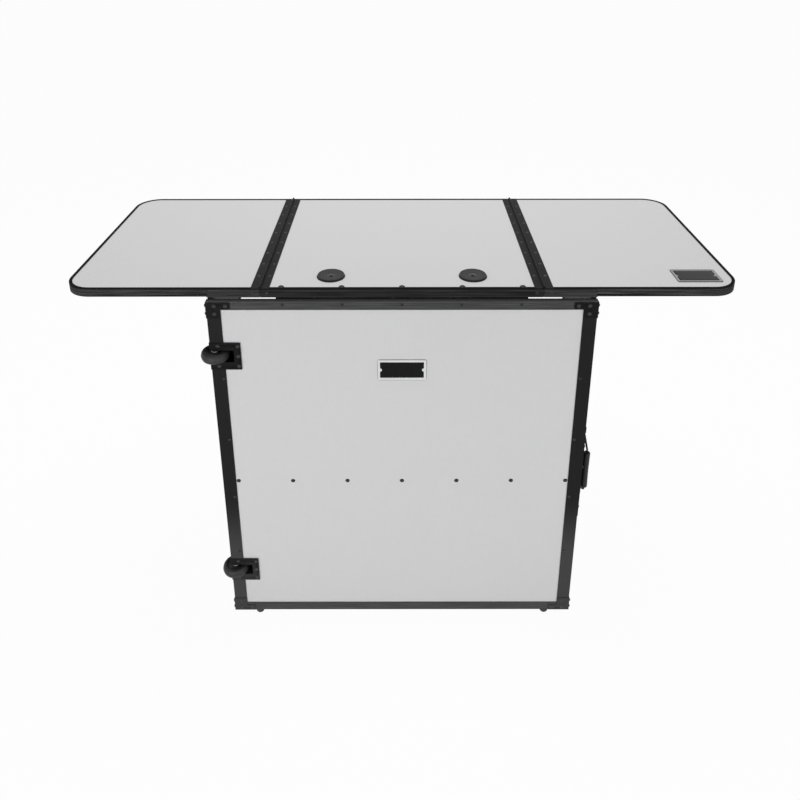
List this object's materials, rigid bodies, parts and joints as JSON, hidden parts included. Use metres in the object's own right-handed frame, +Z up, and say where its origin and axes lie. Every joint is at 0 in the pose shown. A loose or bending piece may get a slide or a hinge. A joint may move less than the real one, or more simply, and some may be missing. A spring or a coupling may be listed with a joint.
{
  "type": "dj booth",
  "caption": "Folding booth table: framed front panel with edge wheels and bail handle, swing-in side panels and a hinged top with folding wings and cable ports.",
  "frame": {"origin": "on the floor, under the middle of the bounding box", "axes": "+X to the audience's right along the long side, +Y from the front panel to the performer, +Z up"},
  "size_m": [1.555, 0.6171, 0.9925],
  "materials": {
    "front_laminate": "pale grey laminate with a fine embossed pattern",
    "side_laminate": "pale grey laminate outside, black backing inside",
    "top_laminate": "pale grey textured laminate",
    "frame_extrusion": "satin black anodised",
    "table_rim": "satin black anodised",
    "front_strip": "satin black anodised",
    "bare_steel": "bare steel",
    "hinge_steel": "satin black",
    "bracket_steel": "semi-gloss black powder coat",
    "black_fastener": "black oxide",
    "wheel_rubber": "matt black rubber",
    "wheel_plastic": "satin black nylon",
    "foot_rubber": "matt black rubber",
    "handle_wire": "black coated steel wire",
    "grip_plastic": "moulded black grip",
    "port_plastic": "satin black plastic",
    "plate_metal": "bare plate with a dark field"
  },
  "bodies": {
    "frame": {"brace_bolts": "black_fastener", "corner_brackets": "bracket_steel", "cross_brace": "frame_extrusion", "frame_hinge_leaf_left": "hinge_steel", "frame_hinge_leaf_right": "hinge_steel", "frame_rail_bottom": "frame_extrusion", "frame_rail_left": "frame_extrusion", "frame_rail_right": "frame_extrusion", "frame_rail_top": "frame_extrusion", "frame_rivets": "black_fastener", "frame_screws": "black_fastener", "front_board": "front_laminate", "front_feet": "foot_rubber", "handle_saddles": "bracket_steel", "name_plate_front": "plate_metal", "side_hinge_pins_left": "bare_steel", "side_hinge_pins_right": "bare_steel", "table_hinge_leaf_frame": "hinge_steel", "table_hinge_pin": "bare_steel", "wheel_axles": "bare_steel", "wheel_dish_lower": "bracket_steel", "wheel_dish_upper": "bracket_steel"},
    "table": {"cable_port_plug_left": "port_plastic", "cable_port_plug_right": "port_plastic", "cable_port_ring_left": "port_plastic", "cable_port_ring_right": "port_plastic", "centre_board": "top_laminate", "centre_front_strip": "front_strip", "centre_hinge_leaves": "hinge_steel", "centre_rims": "table_rim", "table_fasteners": "black_fastener", "table_hinge_leaf_table": "hinge_steel", "wing_hinge_pins": "hinge_steel"},
    "handle": {"handle_bail": "handle_wire", "handle_grip": "grip_plastic"},
    "wing_right": {"name_plate_wing": "plate_metal", "wing_board_right": "top_laminate", "wing_fasteners_right": "black_fastener", "wing_front_strip_right": "front_strip", "wing_hinge_leaf_right": "hinge_steel", "wing_rim_right": "table_rim"},
    "side_left": {"side_board_left": "side_laminate", "side_edging_left": "frame_extrusion", "side_foot_left": "foot_rubber", "side_hinge_leaf_left": "hinge_steel", "side_rest_strip_left": "foot_rubber"},
    "side_right": {"side_board_right": "side_laminate", "side_edging_right": "frame_extrusion", "side_foot_right": "foot_rubber", "side_hinge_leaf_right": "hinge_steel", "side_rest_strip_right": "foot_rubber"},
    "wheel_lower": {"wheel_hub_lower": "wheel_plastic", "wheel_tyre_lower": "wheel_rubber"},
    "wheel_upper": {"wheel_hub_upper": "wheel_plastic", "wheel_tyre_upper": "wheel_rubber"},
    "wing_left": {"wing_board_left": "top_laminate", "wing_fasteners_left": "black_fastener", "wing_front_strip_left": "front_strip", "wing_hinge_leaf_left": "hinge_steel", "wing_rim_left": "table_rim"}
  },
  "joints": [
    {"name": "table_lift", "type": "hinge", "parent": "frame", "child": "table", "pos_m": [0, -0.26305, 0.9535], "axis": [1, 0, 0], "range_deg": [0, 30]},
    {"name": "wing_left_fold", "type": "hinge", "parent": "table", "child": "wing_left", "pos_m": [-0.3238, 0, 0.99], "axis": [0, 1, 0], "range_deg": [0, 180]},
    {"name": "wing_right_fold", "type": "hinge", "parent": "table", "child": "wing_right", "pos_m": [0.3238, 0, 0.99], "axis": [0, -1, 0], "range_deg": [0, 172]},
    {"name": "side_left_fold", "type": "hinge", "parent": "frame", "child": "side_left", "pos_m": [-0.4337, -0.26285, 0], "axis": [0, 0, -1], "range_deg": [0, 90]},
    {"name": "side_right_fold", "type": "hinge", "parent": "frame", "child": "side_right", "pos_m": [0.4337, -0.26285, 0], "axis": [0, 0, 1], "range_deg": [0, 90]},
    {"name": "wheel_upper_spin", "type": "hinge", "parent": "frame", "child": "wheel_upper", "pos_m": [-0.441, -0.27495, 0.811], "axis": [0, 0, 1], "continuous": true},
    {"name": "wheel_lower_spin", "type": "hinge", "parent": "frame", "child": "wheel_lower", "pos_m": [-0.441, -0.27495, 0.161], "axis": [0, 0, 1], "continuous": true},
    {"name": "handle_swing", "type": "hinge", "parent": "frame", "child": "handle", "pos_m": [0.468, -0.21445, 0.454], "axis": [0, 0, 1], "range_deg": [0, 170]}
  ]
}
